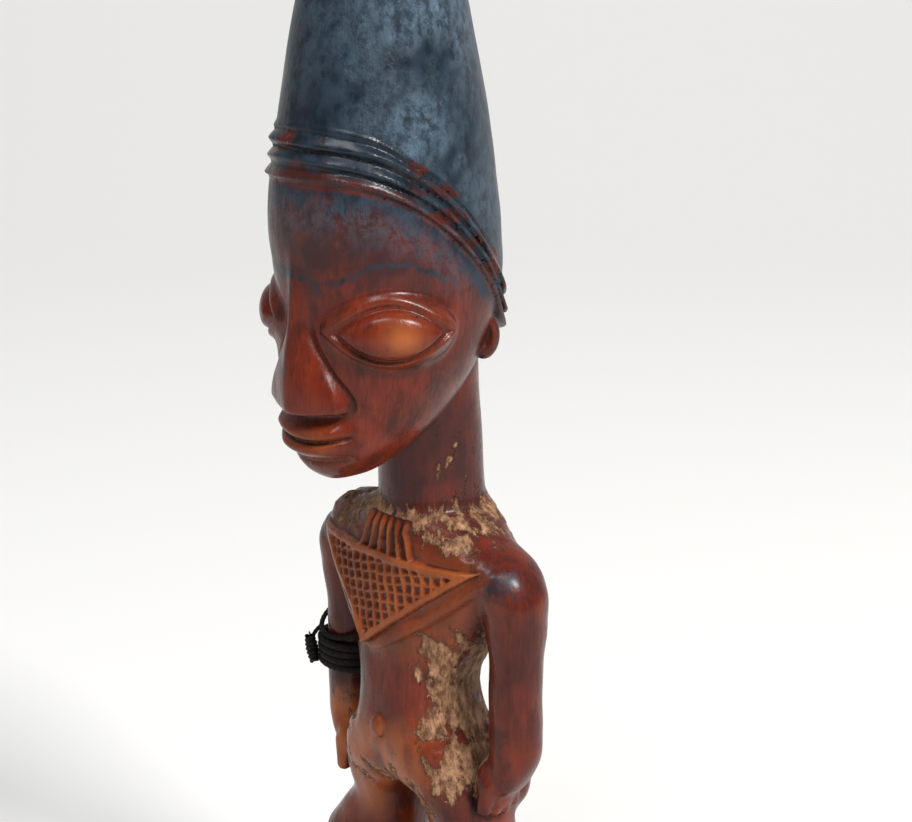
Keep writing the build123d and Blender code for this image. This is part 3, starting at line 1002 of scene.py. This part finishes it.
# ---- armband --------------------------------------------------------------------------------
ARM_AXIS_X = -RIGHT_ARM_X
WINDING_LOWEST_Z = WINDING_LOW.z / MM + CORD_RADIUS
WINDING_PITCH = 1.8
WINDING_RADIUS = (WINDING_HIGH.x - WINDING_LOW.x) / 2 / MM - CORD_RADIUS
LOOSE_LOOP_Z = 100.1
LOOSE_LOOP_RADIUS = 8.0
LOOSE_LOOP_TILT = 24.0
LOOSE_CORD_RADIUS = 0.65
KNOT_DIRECTION = 227.0
KNOT_OUT = 10.4
KNOT_BELOW_LOOP = 8.5
KNOT_WRAPS = 6
KNOT_CORD_RADIUS = 0.6
FRAYED_ENDS = 9


def twisted_cord(path, radius, lay, plies=2, around=14, taper=0.0):
    """Vertices and quads of a cord of twisted plies along a path of points."""
    path = np.array(path)
    tangent = np.gradient(path, axis=0)
    tangent /= np.linalg.norm(tangent, axis=1, keepdims=True)
    outward = np.zeros_like(path)
    frame_up = np.array([0.31, 0.12, 0.94])
    for i, along in enumerate(tangent):
        frame_up = frame_up - along * (frame_up @ along)
        frame_up /= np.linalg.norm(frame_up)
        outward[i] = frame_up
    across = np.cross(tangent, outward)
    walked = np.concatenate([[0], np.cumsum(np.linalg.norm(np.diff(path, axis=0), axis=1))])
    angle = np.arange(around) * 2 * math.pi / around
    twist = walked[:, None] * 2 * math.pi / lay
    swell = 1 - 0.20 * (1 - np.abs(np.cos(plies / 2 * (angle[None] - twist))))
    ends = 1 - taper * step(walked[-1] - 1.5, walked[-1], walked)
    ring = radius * swell * ends[:, None]
    points = (
        path[:, None]
        + ring[..., None] * np.cos(angle)[None, :, None] * outward[:, None]
        + ring[..., None] * np.sin(angle)[None, :, None] * across[:, None]
    ).reshape(-1, 3)
    number = np.arange(len(path) * around).reshape(len(path), around)
    beyond = np.roll(number, -1, 1)
    quads = np.stack([number[:-1], beyond[:-1], beyond[1:], number[1:]], -1).reshape(-1, 4)
    return points, quads[:, ::-1]


def joined(pieces):
    """One mesh out of several."""
    points, quads, count = [], [], 0
    for p, q in pieces:
        points.append(p)
        quads.append(q + count)
        count += len(p)
    return np.concatenate(points), np.concatenate(quads)


def winding_path():
    """Four close turns; each steps up to the next at the back of the arm."""
    turn = np.linspace(0, WINDING_TURNS, 420)
    angle = 2 * math.pi * turn + math.radians(100)
    whole = np.floor(turn)
    height = np.minimum(whole + step(0.72, 1.0, turn - whole), WINDING_TURNS - 1)
    wobble = 0.12 * np.sin(angle * 3.1) * np.sin(turn * 1.3)
    radius = WINDING_RADIUS - 0.05 + 0.05 * np.sin(angle * 2.3)
    x, y = radius * np.cos(angle), radius * np.sin(angle)
    z = WINDING_LOWEST_Z + WINDING_PITCH * height + wobble * 0.6 - 0.05 * radius * np.cos(angle)
    return np.stack([ARM_AXIS_X + x, y, z], 1)


def loop_point(angle, radius=LOOSE_LOOP_RADIUS, lift=0.0):
    """A point of the slack loop, tilted up behind the arm."""
    tilt = math.radians(LOOSE_LOOP_TILT)
    x = radius * np.cos(angle)
    y = radius * np.sin(angle)
    return np.stack(
        [ARM_AXIS_X + x, y * math.cos(tilt), LOOSE_LOOP_Z + y * math.sin(tilt) + lift], -1
    )


def knot_pieces():
    """Wraps of cord round the loop's two ends, and the frayed ends themselves."""
    direction = math.radians(KNOT_DIRECTION)
    out = np.array([math.cos(direction), math.sin(direction), 0.0])
    side = np.array([-out[1], out[0], 0.0])
    up = np.array([0.0, 0.0, 1.0])
    middle = np.array([ARM_AXIS_X, 0.0, LOOSE_LOOP_Z - KNOT_BELOW_LOOP]) + out * (KNOT_OUT - 0.3)
    angle = np.linspace(0, 2 * math.pi * KNOT_WRAPS, 260)
    height = np.linspace(-3.4, 3.2, 260)
    bulge = 0.8 + 0.45 * np.cos(height / 3.4 * math.pi / 2)
    wraps = (
        middle
        + np.cos(angle)[:, None] * 0.85 * bulge[:, None] * out
        + np.sin(angle)[:, None] * 1.5 * bulge[:, None] * side
        + (height + 0.7 * np.sin(angle))[:, None] * up
        + (0.16 * height)[:, None] * out
    )
    pieces = [twisted_cord(wraps, KNOT_CORD_RADIUS, 2.0)]
    chance = np.random.default_rng(7)
    t = np.linspace(0, 1, 14)[:, None]
    for _ in range(FRAYED_ENDS):
        lean = side * chance.uniform(-0.9, 0.9)
        lean = lean + up * chance.uniform(0.5, 1.6)
        lean = lean + out * chance.uniform(0.0, 0.7)
        start = middle + up * 2.4 + side * chance.uniform(-0.7, 0.7)
        curl = side * chance.uniform(-0.6, 0.6)
        pieces.append(twisted_cord(start + t * lean * 1.5 + t**2 * curl, 0.2, 1.0, 2, 6, 0.8))
    tuck = np.linspace(0, 1, 24)[:, None]
    start = loop_point(direction)
    end = middle + up * 2.8
    strand = start + (end - start) * tuck + out * np.sin(tuck * math.pi) * 0.3
    pieces.append(twisted_cord(strand, KNOT_CORD_RADIUS - 0.05, 2.2))
    return pieces


def armband(material):
    """The winding, which slides on the arm, and the slack loop and knot that turn on it."""
    cord = twisted_cord(winding_path(), CORD_RADIUS, 3.4)
    winding = mesh_object("armband_winding_cord", *cord, material)
    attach(winding, "band")
    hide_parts("armband_winding")
    start = math.radians(KNOT_DIRECTION)
    angle = np.linspace(start, start + 2 * math.pi, 160)
    loop = joined([twisted_cord(loop_point(angle), LOOSE_CORD_RADIUS, 2.6), *knot_pieces()])
    loose = mesh_object("armband_loose_cord", *loop, material)
    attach(loose, "loose_loop")
    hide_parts("armband_loose_loop")


# ---- the figure -----------------------------------------------------------------------------
def figure(material):
    """The block of wood: two skins that overlap inside the neck, and the chest's carving."""
    side = BASE_RADIUS + 3
    back, front = BASE_Y + BASE_RADIUS + 3, BASE_Y - BASE_RADIUS - 3
    lower = skin(body, (-side, front, -2), (side, back, NECK_JOIN_Z + 2), BODY_GRID)
    upper = skin(head, (-27, -46, NECK_JOIN_Z - 5), (27, 20, HEIGHT + 2), HEAD_GRID)
    halves = (("figure_body", lower, body_shades), ("figure_head", upper, head_shades))
    for name, made, shades in halves:
        thing = mesh_object(name, *made, material)
        paint(thing, shades(made[0]))
        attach(thing, "figure")
        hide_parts("carved_figure")
    relief = chest_patch(material)
    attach(relief, "figure")
    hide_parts("carved_figure")


# ---- stage, light and camera ----------------------------------------------------------------
# the backdrop, in metres: a floor that curves up behind the figure
FLOOR_FRONT, FLOOR_BACK = -1.6, 0.9
SWEEP_RADIUS = 0.6
SWEEP_STEPS = 12
WALL_TOP = 2.6
BACKDROP_HALF_WIDTH = 2.5


def stage():
    """The pale paper the figure stands on."""
    m = Paint("pale_backdrop")
    m.shader.inputs["Emission Color"].default_value = (*BACKDROP_GLOW, 1)
    m.shader.inputs["Emission Strength"].default_value = 0.42
    m.shader.inputs["Base Color"].default_value = (*BACKDROP, 1)
    m.shader.inputs["Roughness"].default_value = 0.95
    m.shader.inputs["Specular IOR Level"].default_value = 0.1
    profile = [(FLOOR_FRONT, 0.0), (FLOOR_BACK, 0.0)]
    for k in range(1, SWEEP_STEPS + 1):
        turn = k / SWEEP_STEPS * math.pi / 2
        depth = FLOOR_BACK + SWEEP_RADIUS * math.sin(turn)
        profile.append((depth, SWEEP_RADIUS * (1 - math.cos(turn))))
    profile.append((FLOOR_BACK + SWEEP_RADIUS, WALL_TOP))
    along = np.array([math.sin(HEADING), math.cos(HEADING)])
    across = np.array([along[1], -along[0]])
    points = []
    for depth, height in profile:
        for side in (-BACKDROP_HALF_WIDTH, BACKDROP_HALF_WIDTH):
            x = -along[0] * depth + across[0] * side
            y = along[1] * depth - across[1] * side
            points.append((x / MM, y / MM, height / MM))
    count = len(profile)
    quads = np.array([[2 * i, 2 * i + 1, 2 * i + 3, 2 * i + 2] for i in range(count - 1)])
    mesh_object("backdrop", np.array(points), quads, m.material)


CAMERA_AT = (0.3170, -0.2905, 0.2840)
HEADING = math.radians(46.77)
CAMERA_PITCH = math.radians(16.23)
CAMERA_LENS = 77.7


def camera():
    """The view from above the figure's left front."""
    data = bpy.data.cameras.new("camera")
    data.lens = CAMERA_LENS
    data.sensor_width = 36.0
    data.clip_start = 0.01
    thing = bpy.data.objects.new("camera", data)
    thing.location = CAMERA_AT
    thing.rotation_euler = Euler((math.pi / 2 - CAMERA_PITCH, 0, HEADING))
    bpy.context.scene.collection.objects.link(thing)
    bpy.context.scene.camera = thing


def soft_light(name, azimuth, elevation, distance, size, power, tint=(1, 1, 1)):
    """A square light that looks at the figure's chest."""
    data = bpy.data.lights.new(name, "AREA")
    data.size = size
    data.energy = power
    data.color = tint
    thing = bpy.data.objects.new(name, data)
    a, e = math.radians(azimuth), math.radians(elevation)
    away = np.array([math.sin(a) * math.cos(e), -math.cos(a) * math.cos(e), math.sin(e)])
    thing.location = away * distance + np.array([0, 0, 0.17])
    thing.rotation_euler = Euler((math.pi / 2 - e, 0, a))
    bpy.context.scene.collection.objects.link(thing)


def lights():
    """A window on the right, soft sky over it and a weak fill from the left."""
    world = bpy.data.worlds.new("pale_room")
    world.use_nodes = True
    bpy.context.scene.view_settings.view_transform = "Standard"
    background = world.node_tree.nodes["Background"]
    background.inputs["Color"].default_value = (0.95, 0.97, 1.0, 1)
    background.inputs["Strength"].default_value = 0.20
    bpy.context.scene.world = world
    soft_light("window", 90, 44, 1.3, 0.28, 22, (1.0, 0.99, 0.97))
    soft_light("sky", 25, 58, 1.4, 0.4, 8, (0.93, 0.97, 1.0))
    soft_light("left_fill", -35, 12, 1.5, 1.0, 1.2)


figure(wood())
armband(cord_black())
stage()
camera()
lights()
